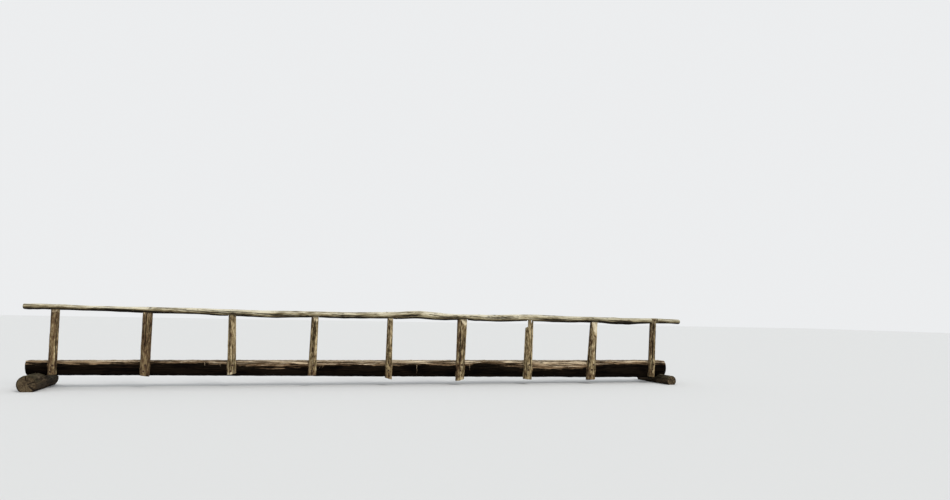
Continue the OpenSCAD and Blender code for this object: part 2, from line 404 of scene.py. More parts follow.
def crack_at(cracks, along, around, girth, twist=0.0):
    """Depth of the deepest crack here, from 0 to 1."""
    deepest = 0.0
    for start, end, place, width, drift in cracks:
        if start < along < end:
            half = width / 2 * sqrt(sin(pi * (along - start) / (end - start)))
            middle = place + twist * (along - (start + end) / 2)
            middle += 0.020 * noise.noise(Vector((along * 1.6, drift, 0)))
            middle += 0.006 * noise.noise(Vector((along * 9, drift, 4)))
            gap = abs((around - middle + girth / 2) % girth - girth / 2)
            if gap < half:
                deepest = max(deepest, 1 - gap / half)
    return deepest


def some_knots(seed, count, length, girth, size=(0.03, 0.06), height=(0.004, 0.010)):
    """Knots as (along, around, size, height), in metres."""
    chance = Random(seed)
    return [(chance.uniform(0.1, length - 0.1), chance.uniform(0, girth),
             chance.uniform(*size), chance.uniform(*height)) for _ in range(count)]


def knot_at(knots, along, around, girth):
    """Swelling of the skin here, in metres, and how near a knot's dark core is."""
    swelling = core = 0.0
    for knot_along, knot_around, size, height in knots:
        if abs(along - knot_along) < 4 * size:
            gap = (around - knot_around + girth / 2) % girth - girth / 2
            far = hypot((along - knot_along) / 1.7, gap) / size
            swelling += height * (exp(-far * far) - 0.8 * exp(-(far / 0.5) ** 2))
            core = max(core, exp(-(far / 0.4) ** 2))
    return swelling, core


def fibre(along, a, b, seed, fine=34, coarse=9):
    """Ribbing of weathered wood, about -1 to 1, long and narrow."""
    ribs = noise.noise(Vector((along * 2.1 + seed, a * fine, b * fine)))
    waves = noise.noise(Vector((along * 0.9 - seed, a * coarse, b * coarse)))
    return 0.5 * ribs + 0.6 * waves


def lumps(x, y, z, seed):
    """Two sizes of soft noise together, about -1 to 1."""
    large = noise.noise(Vector((x, y, z + seed)))
    small = noise.noise(Vector((x * 2.3, y * 2.3, z * 2.3 - seed)))
    return large + 0.5 * small


# %% [markdown]
# ## Cutting joints
# A carpenter cuts housings, seats and laps with straight saw and axe cuts. A
# Boolean does the same: a block is placed where wood has to go, and is taken
# away from the timber. The blocks are used one after another and not joined
# into one cutter, because blocks that overlap would cut each other. Cutting
# after the timber is rough keeps the joint faces crisp, as on a real bridge.
# A rough skin can mislead the solver, so that it adds the block or leaves a
# slit. So each cut is tested: the timber must not have grown, and every edge
# must have two faces. If not, the cut is made again, with the block moved by a
# hundredth of a millimetre, and by twice as much at each further try.


# %% Blocks
def block(low, high, place=Matrix()):
    """Box between two corners, moved as a whole by a matrix."""
    low, high = Vector(low), Vector(high)
    bpy.ops.object.select_all(action="DESELECT")
    bpy.ops.mesh.primitive_cube_add(size=1, location=(low + high) / 2, scale=high - low)
    bpy.ops.object.transform_apply(location=True, rotation=True, scale=True)
    cutter = bpy.context.object
    cutter.data.transform(place)
    return cutter


def select_only(thing):
    """Select one object, and make it the active one."""
    bpy.ops.object.select_all(action="DESELECT")
    thing.select_set(True)
    bpy.context.view_layer.objects.active = thing


# %% Carving
# The most that a timber may grow in a cut, how often a cut is tried, and how
# far the block is moved before the second try
growth_limit, cut_tries, first_nudge = 0.0001, 5, 0.00001


def extent(timber):
    """Length, width and height of a timber."""
    bpy.context.view_layer.update()
    corners = timber.bound_box
    return [high - low for low, high in zip(corners[0], corners[6])]


def is_closed(mesh):
    """Whether there is a mesh, and each of its edges has exactly two faces."""
    edges = array("i", [0]) * len(mesh.loops)
    mesh.loops.foreach_get("edge_index", edges)
    uses = Counter(edges)
    return 0 < len(uses) == len(mesh.edges) and all(count == 2 for count in uses.values())


def cut_away(timber, cutter):
    """Take one cutter away, and tell whether that went well."""
    before = extent(timber)
    select_only(timber)
    bpy.ops.object.modifier_add(type="BOOLEAN")
    cut = timber.modifiers[-1]
    cut.operation = "DIFFERENCE"
    cut.solver = "EXACT"
    cut.object = cutter
    bpy.ops.object.modifier_apply(modifier=cut.name)
    grown = max(after - size for after, size in zip(extent(timber), before))
    return grown < growth_limit and is_closed(timber.data)


def carve(timber, cutters):
    """Take the cutters away from the timber, one by one."""
    for cutter in cutters:
        for attempt in range(cut_tries):
            whole = timber.data.copy()
            if cut_away(timber, cutter):
                bpy.data.meshes.remove(whole)
                break
            spoiled, timber.data = timber.data, whole
            bpy.data.meshes.remove(spoiled)
            nudge = first_nudge * 2 ** attempt
            cutter.data.transform(Matrix.Translation((nudge, -0.1 * nudge, -0.7 * nudge)))
            print(timber.name, "cut again")
        else:
            print(timber.name, "left uncut at one joint")
        bpy.data.objects.remove(cutter)


# %% [markdown]
# ## Wood finishes
# All the wood is one recipe with other colours, made by a few short functions.
# The pattern lies in the **grain** attribute, which holds each point's place in
# the straight timber: x along it, y and z across it. Noise that is squeezed
# across and stretched along becomes fibre, and the places where such a noise
# crosses its middle value become hairline checks. Rings about the x axis are
# the growth rings on a sawn end. The marks then lay their own colours over it,
# with a little noise at their borders so that no edge is drawn too cleanly.


# %% Node helpers
def paint(red, green, blue):
    """Colour from the 0 to 255 values that a picture shows."""
    return tuple(((c / 255 + 0.055) / 1.055) ** 2.4 for c in (red, green, blue)) + (1,)


def add_node(tree, kind, inputs, **settings):
    """Add a node, set its options, and link or set its inputs by name or number."""
    node = tree.nodes.new(kind)
    for option, value in settings.items():
        setattr(node, option, value)
    for socket, value in inputs.items():
        if isinstance(value, bpy.types.NodeSocket):
            tree.links.new(value, node.inputs[socket])
        else:
            node.inputs[socket].default_value = value
    return node


def streaks(tree, grain, stretch, detail=4.0, seed=0.0):
    """Noise in the wood, squeezed by three factors along and across it."""
    squeezed = add_node(tree, "ShaderNodeMapping",
                        {"Vector": grain, "Scale": stretch, "Location": (seed, 0, 0)}).outputs[0]
    return add_node(tree, "ShaderNodeTexNoise",
                    {"Vector": squeezed, "Scale": 1.0, "Detail": detail, "Roughness": 0.62}).outputs[0]


def calc(tree, operation, a, b, c=0.0):
    return add_node(tree, "ShaderNodeMath", {0: a, 1: b, 2: c}, operation=operation).outputs[0]


def spread(tree, value, low, high):
    """Stretch low..high to 0..1 and hold it there."""
    return add_node(tree, "ShaderNodeMapRange", {0: value, 1: low, 2: high, 3: 0.0, 4: 1.0}).outputs[0]


def lay_over(tree, share, under, over):
    """Lay one colour over another, by a share from 0 to 1."""
    return add_node(tree, "ShaderNodeMix", {0: share, 6: under, 7: over}, data_type="RGBA").outputs[2]


def mark(tree, name):
    """One of the marks on the mesh, as a value."""
    return add_node(tree, "ShaderNodeAttribute", {}, attribute_name=name).outputs["Fac"]


def hairlines(tree, grain, along, across, half_width, seed):
    """Thin lines where a stretched noise crosses its middle value."""
    field = streaks(tree, grain, (along, across, across), detail=0.8, seed=seed)
    gap = calc(tree, "ABSOLUTE", calc(tree, "SUBTRACT", field, 0.5), 0.0)
    return spread(tree, gap, half_width, half_width * 0.2)


def three_tones(tree, value, dark, middle, pale):
    """Colours from dark through middle to pale, for a value from 0 to 1."""
    ramp = add_node(tree, "ShaderNodeValToRGB", {0: value})
    steps = ramp.color_ramp.elements
    steps[0].color, steps[1].color = dark, pale
    steps.new(0.5).color = middle
    return ramp.outputs[0]


# %% Tone of the wood
def growth_rings(tree, grain, ring_width):
    """Rings about the heart of a timber, a ring's width apart."""
    return add_node(tree, "ShaderNodeTexWave",
                    {"Vector": grain, "Scale": 0.314 / ring_width, "Distortion": 7.0, "Detail": 2.0,
                     "Detail Scale": 0.5},
                    wave_type="RINGS", rings_direction="X", wave_profile="SAW").outputs["Fac"]


def wood_tone(tree, grain, fibres, threads, patches, contrast, ring_width):
    """Dark to pale of the fibre, 0 to 1, with rings that show on the sawn ends."""
    bands = streaks(tree, grain, (1.0, 15, 15), detail=3.0, seed=6.0)
    tone = calc(tree, "MULTIPLY_ADD", bands, 0.30, calc(tree, "MULTIPLY", threads, 0.28))
    tone = calc(tree, "MULTIPLY_ADD", fibres, 0.35, tone)
    tone = calc(tree, "MULTIPLY_ADD", patches, 0.50, tone)
    tone = spread(tree, tone, 0.70 - contrast, 0.70 + contrast)
    ring_share = calc(tree, "MULTIPLY_ADD", mark(tree, "sawn"), 0.35, 0.10)
    rings = growth_rings(tree, grain, ring_width)
    return add_node(tree, "ShaderNodeMix", {0: ring_share, 2: tone, 3: rings}, data_type="FLOAT").outputs[0]


def fine_hairs(tree, grain, fibres, new_faces):
    """Hairline checks of two sizes, which newly cut faces don't have yet."""
    longer = hairlines(tree, grain, 0.6, 36, 0.014, 12.0)
    shorter = calc(tree, "MULTIPLY", hairlines(tree, grain, 1.1, 105, 0.030, 15.0), 0.7)
    hairs = calc(tree, "MAXIMUM", longer, shorter)
    hairs = calc(tree, "MULTIPLY", hairs, spread(tree, fibres, 0.40, 0.56))
    return spread(tree, calc(tree, "SUBTRACT", hairs, new_faces), 0.0, 1.0)


# %% Weather, painted light and painted shade on the wood
def bleached_and_lit(tree, colour, tone, patches, bleach_and_light):
    """Bleach the faces that look up, and paint light on them, in streaks and patches."""
    normal = add_node(tree, "ShaderNodeNewGeometry", {}).outputs["Normal"]
    facing_up = add_node(tree, "ShaderNodeSeparateXYZ", {0: normal}).outputs[2]
    bleached_and_lit_share = calc(tree, "MULTIPLY", spread(tree, facing_up, 0.10, 0.75), bleach_and_light)
    bleached_and_lit_share = calc(tree, "MULTIPLY", spread(tree, patches, 0.25, 0.46), bleached_and_lit_share)
    streaked = calc(tree, "MULTIPLY_ADD", spread(tree, tone, 0.20, 0.75), 0.75, 0.25)
    bleached_and_lit_share = calc(tree, "MULTIPLY", streaked, bleached_and_lit_share)
    # Pale cream of bleached wood, also painted light on the faces that look up
    return lay_over(tree, bleached_and_lit_share, colour, paint(226, 219, 196))


def weathered(tree, colour, tone, border, dark, middle, bark_and_shade, damp_and_shade, silver):
    """Lay on the brown of bark and of painted shade, then silver grey, then the black of wet wood and of
    painted shade.
    """
    ragged = calc(tree, "MULTIPLY_ADD", border, 1.5, mark(tree, "stain_and_shade"))
    browned = calc(tree, "MULTIPLY", spread(tree, ragged, -0.14, 0.10), 0.9)
    colour = lay_over(tree, browned, colour, three_tones(tree, tone, damp_and_shade, bark_and_shade, middle))
    greyed = calc(tree, "MULTIPLY_ADD", border, 1.2, mark(tree, "silver"))
    greyed = calc(tree, "MULTIPLY", spread(tree, greyed, 0.1, 0.9), 0.75)
    silver_tones = lay_over(tree, calc(tree, "MULTIPLY", tone, 0.8), dark, silver)
    colour = lay_over(tree, greyed, colour, silver_tones)
    blackened = calc(tree, "MULTIPLY", spread(tree, ragged, 0.72, 1.06), 0.97)
    return lay_over(tree, blackened, colour, damp_and_shade)


# %% The wood recipe
def wood_finish(name, dark, middle, pale, fresh, bark_and_shade, damp_and_shade, silver, bleach_and_light=0.35,
                patch=(1.1, 6, 6), contrast=0.10, ring_width=0.006, relief=0.5, shine=0.1):
    """Material of one kind of wood, from its colours and its weather."""
    finish = bpy.data.materials.new(name)
    finish.use_nodes = True
    tree = finish.node_tree
    grain = add_node(tree, "ShaderNodeAttribute", {}, attribute_name="grain").outputs["Vector"]
    fibres = streaks(tree, grain, (2.4, 46, 46), detail=5.0)
    threads = streaks(tree, grain, (7, 190, 190), detail=3.0, seed=4.0)
    patches = streaks(tree, grain, patch, detail=4.0, seed=9.0)
    border = calc(tree, "SUBTRACT", fibres, 0.5)

    tone = wood_tone(tree, grain, fibres, threads, patches, contrast, ring_width)
    colour = three_tones(tree, tone, dark, middle, pale)
    # Upward faces bleached, with painted light on them
    colour = bleached_and_lit(tree, colour, tone, patches, bleach_and_light)
    # Brown and then black from the stain and shade mark: bark and damp wood, and painted shade
    colour = weathered(tree, colour, tone, border, dark, middle, bark_and_shade, damp_and_shade, silver)

    freshness = spread(tree, calc(tree, "MULTIPLY_ADD", border, 0.8, mark(tree, "fresh")), 0.15, 0.85)
    fresh_tones = lay_over(tree, calc(tree, "MULTIPLY", spread(tree, tone, 0.7, 0.0), 0.45), fresh, middle)
    colour = lay_over(tree, freshness, colour, fresh_tones)

    checks = spread(tree, streaks(tree, grain, (1.6, 62, 62), detail=2.0, seed=2.0), 0.60, 0.68)
    hairs = fine_hairs(tree, grain, fibres, calc(tree, "ADD", freshness, mark(tree, "sawn")))
    # Crack bottoms are painted near black, as the shade inside the cracks; knot cores, which share the
    # mark, are dark wood
    cracked = spread(tree, mark(tree, "crack"), 0.05, 0.55)
    colour = lay_over(tree, calc(tree, "MULTIPLY", checks, 0.55), colour, dark)
    colour = lay_over(tree, calc(tree, "MULTIPLY", hairs, 0.80), colour, paint(24, 18, 12))
    colour = lay_over(tree, calc(tree, "MULTIPLY", cracked, 0.92), colour, paint(16, 12, 9))

    height = calc(tree, "MULTIPLY_ADD", threads, 0.60, fibres)
    height = calc(tree, "MULTIPLY_ADD", checks, -0.6, height)
    height = calc(tree, "MULTIPLY_ADD", hairs, -0.7, height)
    bump = add_node(tree, "ShaderNodeBump", {"Height": height, "Strength": relief, "Distance": 0.006})
    rough = add_node(tree, "ShaderNodeMapRange", {0: fibres, 1: 0.3, 2: 0.7, 3: 0.92, 4: 0.78})
    shader = tree.nodes["Principled BSDF"]
    tree.links.new(colour, shader.inputs["Base Color"])
    tree.links.new(bump.outputs[0], shader.inputs["Normal"])
    tree.links.new(rough.outputs[0], shader.inputs["Roughness"])
    shader.inputs["Specular IOR Level"].default_value = shine
    return finish


# %% Four kinds of wood
# The bark and damp colours of each finish also paint shade, and the log's damp colour is near black, for
# its wet wood and the shade under it
log_finish = wood_finish(
    "hewn_log_wood", dark=paint(46, 33, 22), middle=paint(138, 112, 83), pale=paint(224, 201, 166),
    fresh=paint(206, 182, 148), bark_and_shade=paint(76, 57, 38), damp_and_shade=paint(3, 2, 2), silver=paint(158, 150, 120),
    bleach_and_light=0.32, contrast=0.075, ring_width=0.007, shine=0.01)
post_finish = wood_finish(
    "split_post_wood", dark=paint(56, 43, 26), middle=paint(136, 117, 83), pale=paint(204, 185, 146),
    fresh=paint(212, 198, 168), bark_and_shade=paint(92, 68, 47), damp_and_shade=paint(26, 19, 13), silver=paint(150, 144, 120),
    bleach_and_light=0.15, patch=(8, 18, 18), contrast=0.085)
rail_finish = wood_finish(
    "peeled_pole_wood", dark=paint(70, 59, 38), middle=paint(160, 147, 114), pale=paint(216, 206, 176),
    fresh=paint(208, 196, 168), bark_and_shade=paint(76, 62, 42), damp_and_shade=paint(22, 17, 11), silver=paint(152, 148, 116),
    bleach_and_light=0.95, patch=(2.2, 9, 9))
sill_finish = wood_finish(
    "damp_cross_log_wood", dark=paint(38, 30, 22), middle=paint(72, 59, 44), pale=paint(108, 92, 70),
    fresh=paint(146, 124, 98), bark_and_shade=paint(50, 41, 30), damp_and_shade=paint(18, 14, 10), silver=paint(92, 92, 66),
    bleach_and_light=0.1, patch=(4, 9, 9), relief=0.8, shine=0.06)
print("finishes:", len(bpy.data.materials))

# %% [markdown]
# ## Finishing a piece
# The last steps are the same for every timber. The grain attribute is written
# after the cutting, so that new joint faces get it too. Shading is smooth
# except at sharp edges. The piece then takes the place of its node, rides on
# the one body, and gets its finish.


# %% Finish a timber
def finish_timber(timber, node, material, straight, sharp=38):
    """Give a piece its grain, finish and shading, in place of its node if it has one."""
    mesh = timber.data
    grain = mesh.attributes.new("grain", "FLOAT_VECTOR", "POINT")
    for vertex in mesh.vertices:
        grain.data[vertex.index].vector = straight(vertex.co)
    mesh.materials.clear()
    mesh.materials.append(material)
    select_only(timber)
    bpy.ops.object.shade_smooth_by_angle(angle=radians(sharp))
    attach(timber, "root")
    if node:
        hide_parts(node)
    print(timber.name, len(mesh.polygons), "faces")


# %% [markdown]
# ## The hewn log
# The tread is what an axe left of the top of a round trunk: a strip a foot
# wide, dished by boots, with shallow adze cups and long checks. At its edges
# the hewing broke through the dark outer wood in a ragged line, so a pale
# shoulder runs the whole length, and brown shows below it, for inner bark and
# painted shade. Further down the log is painted almost black, for damp wood and
# the shade under the log. The tread and its shoulders are darker in some bays,
# and toward the thin end this is painted shade. The section function lays a
# fixed share of the columns on the tread and the rest round the log, which
# keeps the hewn corners sharp.

# %% Log: sizes
log_sides, log_cuts = 120, 640
tread_columns = 30
log_length = log_x1 - log_x0
log_girth = pi * (log_thin_d + log_butt_d) / 2

# Depth below the tread where the pale wood ends and where the black of damp
# wood and painted shade begins, every half bay, the first of them half a bay
# before the first post
pale_depth = [0.024, 0.026, 0.022, 0.024, 0.018, 0.045, 0.065, 0.065, 0.080, 0.070, 0.070,
              0.055, 0.030, 0.100, 0.122, 0.080, 0.016, 0.035, 0.050]
dark_depth = [0.080, 0.080, 0.070, 0.080, 0.060, 0.100, 0.150, 0.125, 0.110, 0.105, 0.100,
              0.105, 0.100, 0.170, 0.195, 0.150, 0.112, 0.110, 0.110]

# How much darker than usual the tread and its shoulders are, every half bay
log_shade = [1.0, 1.0, 1.0, 1.0, 0.6, 0.0, 0.0, 0.0, 0.0, 0.0, 0.0,
             0.0, 1.1, 0.2, -0.4, 0.2, 1.1, 0.6, 0.6]

log_cracks = some_cracks(3, 40, log_length, log_girth, reach=(0.5, 2.6), width=(0.014, 0.026))
for shoulder, number in ((0.165, 46), (0.835, 24)):
    short = some_cracks(13 + number, number, log_length, 1.0, reach=(0.3, 1.3), width=(0.011, 0.022))
    log_cracks += [(start, end, log_girth * shoulder + 0.12 * (place - 0.5), width, drift)
                   for start, end, place, width, drift in short]
log_knots = some_knots(5, 26, log_length, log_girth, size=(0.04, 0.08), height=(0.006, 0.012))
tread_cracks = some_cracks(8, 18, log_length, 0.30, reach=(0.6, 3.0), width=(0.014, 0.024))


# %% Log: section
def log_heart(along):
    x = mix(log_x0, log_x1, along)
    return Vector((x, log_y(x), tread_z + hewn_depth - log_r(x)))


def adze_cups(x, y):
    """Depth of the shallow cups that an adze leaves, row beside row."""
    row = floor(y / 0.085 + 0.5)
    stroke = (x + 0.037 * row) / 0.13 + 0.5 * noise.noise(Vector((x * 1.3, row, 0)))
    across = 2 * (y / 0.085 + 0.5 - row) - 1
    along = 2 * (stroke % 1) - 1
    return 0.0045 * (1 - along * along) * (1 - 0.5 * across * across)


def log_tread(x, y, half_width):
    """Depth of the hewn face under the tread level, and its crack."""
    edge = half_width - abs(y)
    worn = 0.004 * (1 - (y / half_width) ** 2)
    chipped = 0.018 * clamp(1 - edge / 0.05) * (0.5 + noise.noise(Vector((x * 5, y * 9, 7))))
    crack = crack_at(tread_cracks, x - log_x0, y + 0.15, 1.0)
    return adze_cups(x, y) + worn + max(0, chipped) + 0.012 * crack, crack


def log_skin(along, around):
    x = mix(log_x0, log_x1, along)
    r = log_r(x)
    half = acos((r - hewn_depth) / r)
    half_width = r * sin(half)
    column = around * log_sides
    middle = log_heart(along)
    shaded = curve(log_shade, half_bays(x))
    if column <= tread_columns:
        y = mix(half_width, -half_width, column / tread_columns)
        down, crack = log_tread(x, y, half_width)
        grey = 0.25 + 0.5 * noise.noise(Vector((x * 2, y * 5, 1)))
        stain_and_shade = 1.4 * noise.noise(Vector((x * 1.5, y * 24, 8))) - 0.38 + 0.45 * shaded
        return Vector((x, middle.y + y, tread_z - down)), crack, 0.0, stain_and_shade, grey
    share = (column - tread_columns) / (log_sides - tread_columns)
    share -= 0.5 * sin(2 * pi * share) / (2 * pi)
    angle = half + (2 * pi - 2 * half) * share
    side, height = -sin(angle), cos(angle)
    below = tread_z - (middle.z + r * height)
    far = 40.0 if side > 0 else 0.0
    wander = 0.024 * lumps(x * 2.2, far, 0, 3.0) + 0.010 * noise.noise(Vector((x * 17.0, far, 5)))
    # Below the pale shoulder the side is painted brown and then black with depth: inner bark, damp wood and
    # painted shade
    pale_end = max(0.010, curve(pale_depth, half_bays(x)) + wander)
    black_start = max(pale_end + 0.02, curve(dark_depth, half_bays(x)) + wander)
    stain_and_shade = (below - pale_end) / (black_start - pale_end)
    stain_and_shade = max(-0.8, stain_and_shade if stain_and_shade > 0 else (below - pale_end) / 0.05)
    bark_and_shade = clamp(stain_and_shade * 2 + 0.2)
    lines = noise.noise(Vector((x * 1.7, below * 34, far)))
    lines += 0.7 * noise.noise(Vector((x * 4.5, below * 70, far)))
    stain_and_shade += 1.10 * lines * clamp(1.7 - stain_and_shade) + 0.25 * shaded
    place = angle / (2 * pi) * log_girth
    crack = crack_at(log_cracks, x - log_x0, place, log_girth, twist=0.05)
    swell = 0.008 * fibre(x, r * side, r * height, 2.0, fine=22, coarse=5)
    swell += 0.006 * bark_and_shade * lumps(x * 6, side * 9, height * 9, 2.0)
    knot, core = knot_at(log_knots, x - log_x0, place, log_girth)
    r += swell + knot + mix(-0.010, 0.003, bark_and_shade) - 0.014 * crack
    return Vector((x, middle.y + r * side, middle.z + r * height)), max(crack, 0.5 * core), 0.0, stain_and_shade, -0.3


# %% Log: make it
log_piece = unit_timber("hewn_log_wood", log_sides, log_cuts, 9)
reshape(log_piece, log_sides, log_skin, log_heart, Vector((1, 0, 0)), 11)


# %% Log: housings for the posts and seats for the cross logs
def post_frame(k):
    """Matrix that stands post k on its own axis in its housing."""
    return Matrix.Translation((post_x(k), dap_y(k), tread_z)) @ Matrix.Rotation(post_lean[k], 4, "Y")


def dap_block(k):
    """Block for the housing of post k, which leans as the post does."""
    half = post_foot_w[k] / 2 + fit
    return block((-half, -0.5, -0.6), (half, 0, 0.4), post_frame(k))


def seat_block(x, diameter, z):
    """Block for the flat under the log that beds on a cross log."""
    offset = z - log_seat_cut - (diameter / 2 - sill_base_cut)
    half = diameter / 2 if offset < 0 else sqrt((diameter / 2) ** 2 - offset ** 2)
    half += side_room
    return block((x - half, -0.5, z - 0.5), (x + half, 0.5, z))


log_blocks = [dap_block(k) for k in range(last + 1)]
log_blocks.append(seat_block(sill_thin_x, sill_thin_d, seat_thin_z))
log_blocks.append(seat_block(sill_butt_x, sill_butt_d, seat_butt_z))
carve(log_piece, log_blocks)


def log_straight(place):
    middle = log_heart((place.x - log_x0) / log_length)
    return Vector((place.x, place.y - middle.y, place.z - middle.z))


finish_timber(log_piece, "hewn_log", log_finish, log_straight)

# %% [markdown]
# ## The posts
# The posts were split from a round, so each has a flat back, which lies in
# its housing, and a rounded front. No two are alike: one is slender, one is
# broad, one has lost part of its top, and several have a long sloping cut at
# the top front where the pale wood still shows. Scraps of bark cling to them,
# and their left sides are painted darker and their right sides lighter, as
# shade and light. The section keeps some columns for the flat back, so its two
# edges stay sharp.

# %% Posts: sizes
post_sides, post_cuts, back_columns = 64, 190, 14
post_girth = 0.42

# Splits in the front: place across, from and to height over the tread, width
post_splits = {
    1: [(-0.05, 0.20, 0.95, 0.014)],
    2: [(0.28, -0.32, 0.05, 0.020), (-0.30, 0.10, 0.90, 0.016)],
    3: [(-0.16, 0.05, 0.80, 0.018), (0.10, 0.30, 0.98, 0.012)],
    4: [(-0.20, -0.10, 0.95, 0.014)],
    5: [(0.18, -0.30, 0.60, 0.014), (-0.22, 0.10, 0.95, 0.018)],
    6: [(0.16, -0.10, 0.86, 0.016), (-0.28, -0.40, 0.10, 0.012)],
    7: [(0.27, -0.42, 0.58, 0.030), (-0.30, -0.10, 0.80, 0.014)],
    8: [(-0.16, -0.40, 0.95, 0.034)],
}

# Each post's own look: how much bark and painted shade, how much its left side
# is painted darker and its right side lighter, as shade and light, how damp its
# foot is, how pale its sloping cut is, and how grey it has gone
post_looks = [
    (0.62, 0.5, 0.4, 0.3, 0.0), (0.85, 0.0, 0.2, 0.2, 0.0), (0.05, 0.2, -0.6, 0.0, 0.1),
    (0.12, 0.7, 0.9, 0.6, 0.1), (0.15, 0.6, 0.5, 0.5, 0.0), (0.30, 1.0, -0.1, 0.9, 0.0),
    (-0.15, 0.7, 0.0, 0.0, 0.1), (0.10, 0.8, 0.6, 0.9, 0.0), (0.30, 1.3, 0.6, 0.0, 0.4),
]


# %% Posts: section
def post_section(column):
    """Flat back and rounded front, one unit wide and one unit thick."""
    if column <= back_columns:
        return mix(0.5, -0.5, column / back_columns), 0.0
    turn = pi + pi * (column - back_columns) / (post_sides - back_columns)
    x = 0.5 * abs(cos(turn)) ** 0.8
    return (x if cos(turn) > 0 else -x), -abs(sin(turn)) ** 0.8


def split_at(splits, z, across, width):
    """Depth of the splits of a post here, from 0 to 1."""
    deepest = 0.0
    for place, low, high, split_width in splits:
        if low < z < high:
            middle = place * width + 0.012 * noise.noise(Vector((z * 3, place * 9, 1)))
            half = split_width / 2 * sqrt(sin(pi * (z - low) / (high - low)))
            deepest = max(deepest, clamp(1 - abs(across - middle) / half))
    return deepest


# %% Posts: top, weather and sloping cut
def level_top(k, x):
    """Height over the tread of a post's level top, x off its axis."""
    top = seat_z(k) if k < last else rail_top(post_x(k)) - ear_drop
    return (top - tread_z + x * sin(post_lean[k])) / cos(post_lean[k])


def post_weather(k, x, z, patch, mottle):
    """Bark, painted shade and light, grey and pale wood of a post, by the side and the height."""
    barked_and_shaded, side_light_and_shade, damp_foot, pale_cut, greyness = post_looks[k]
    low = 1 - clamp((z + foot_drop[k]) / 0.30)
    # The left side is painted darker and the right side lighter, as shade and light
    stain_and_shade = 0.8 * patch + 0.6 * mottle - 0.30 + barked_and_shaded + damp_foot * low - side_light_and_shade * (x + 0.15)
    grey = greyness + 0.5 * clamp((z + tread_z - seat_z(k) + 0.25) * 4) + 0.3 * patch - 0.3
    return min(stain_and_shade, 0.80), grey, clamp(-damp_foot) * low * (0.6 + patch)


def sloping_cut(k, x, z, seed):
    """Where the sloping cut of a post lies, measured from its back."""
    slope = bevel_depth / bevel_length[k] / cos(bevel_turn[k])
    plane = -post_thick + bevel_depth + x * tan(bevel_turn[k]) + (z + tread_z - seat_z(k)) * slope
    return plane + 0.003 * fibre(z, x, 0, seed, fine=50, coarse=14)


# %% Posts: one post
def make_post(k):
    """Post k from end to end, with its cuts, its bolt holes and its finish."""
    name = f"post_{k + 1}"
    chance = Random(60 + k)
    cracks = some_cracks(200 + k, 12, 1.3, post_girth, reach=(0.15, 0.8), width=(0.008, 0.015))
    knots = some_knots(300 + k, 3, 1.3, post_girth, size=(0.02, 0.04), height=(0.005, 0.010))
    splits = post_splits.get(k, [])
    foot, slant, pale_cut = -foot_drop[k], foot_slant[k], post_looks[k][3]
    stand = post_frame(k)
    seed = chance.uniform(0, 90)

    def skin(along, around):
        x, y = post_section(around * post_sides)
        ragged = 0.004 + 0.022 * abs(noise.noise(Vector((x * 5, y * 5, seed))))
        ragged += abs(slant) * (0.5 + (x if slant > 0 else -x))
        z = mix(foot + ragged, level_top(k, x * post_top_w[k]), along)
        width = post_w(k, z + tread_z)
        px, py = x * width, y * post_thick
        patch = lumps(z * 5.5, px * 22, py * 22, seed)
        mottle = noise.noise(Vector((z * 14, px * 45, py * 45 + seed)))
        stain_and_shade, grey, fresh = post_weather(k, x, z, patch, mottle)
        crack = crack_at(cracks, z - foot, around * post_girth, post_girth, twist=0.03)
        knot, core = knot_at(knots, z - foot, around * post_girth, post_girth)
        bump = 0.0045 * fibre(z, px, py, seed, fine=60, coarse=16) + 0.004 * clamp(stain_and_shade * 4) - 0.004
        bump += 0.006 * lumps(z * 4.5, x * 2, y * 2, seed + 5) + knot - 0.009 * crack
        crack = max(crack, 0.45 * core)
        if y < 0:
            split = split_at(splits, z, px, width)
            crack = max(crack, split)
            out = Vector((x * 2, y, 0)).normalized()
            px += out.x * bump
            py = min(0.0, py + out.y * bump + 0.035 * split * clamp(-y * 4))
        if bevel_length[k]:
            plane = sloping_cut(k, px, z, seed)
            cut = clamp((plane - py + 0.004) / 0.012)
            py = max(py, min(plane, 0.0))
            fresh = mix(fresh, pale_cut, cut)
            crack = mix(crack, 0.4 * crack, cut)
            grey = mix(grey, 0.0, cut)
            stain_and_shade = mix(stain_and_shade, min(stain_and_shade, 0.2) - 0.5 * pale_cut, cut)
        foot_front = -post_thick + foot_trim + foot - z
        uneven_front = -post_thick + 0.0006 * (1 + mottle)
        py = max(py, foot_front, uneven_front)
        return stand @ Vector((px, py - fit, z)), crack, fresh, stain_and_shade, grey

    def heart(along):
        z = mix(foot + abs(slant) / 2, level_top(k, 0), along)
        return stand @ Vector((0, -post_thick * 0.45, z))

    post = unit_timber(name + "_wood", post_sides, post_cuts, 5)
    reshape(post, post_sides, skin, heart, stand.to_3x3() @ Vector((0, 0, 1)), 20 + k)
    if k == last:
        carve(post, [ear_block(k)])
    if k == split_post:
        carve(post, split_cutters(k, stand))
    carve(post, [bolt_hole(stand, spot) for spot in bolt_spots])
    unstand = stand.inverted()

    def straight(place):
        local = unstand @ place
        return Vector((local.z + 3 * k, local.x + 0.01 * k, local.y - 0.03))

    finish_timber(post, name, post_finish, straight)


def ear_block(k):
    """Block behind the ear of the last post, where the rail sits."""
    low = Vector((post_x(k) - 0.3, dap_y(k) - fit - post_thick + ear_thick, seat_z(k)))
    return block(low, (post_x(k) + 0.3, 0.3, seat_z(k) + 0.5))


# %% Posts: bolt holes
# The two bolts of a post, in its own frame: how far to the side of its axis,
# how far in front of its back, and how far above the tread
bolt_spots = [Vector((0.015, -post_thick, -0.090)), Vector((-0.015, -post_thick, -0.208))]
hole_r, hole_depth, drill_length = 0.025, 0.016, 0.1


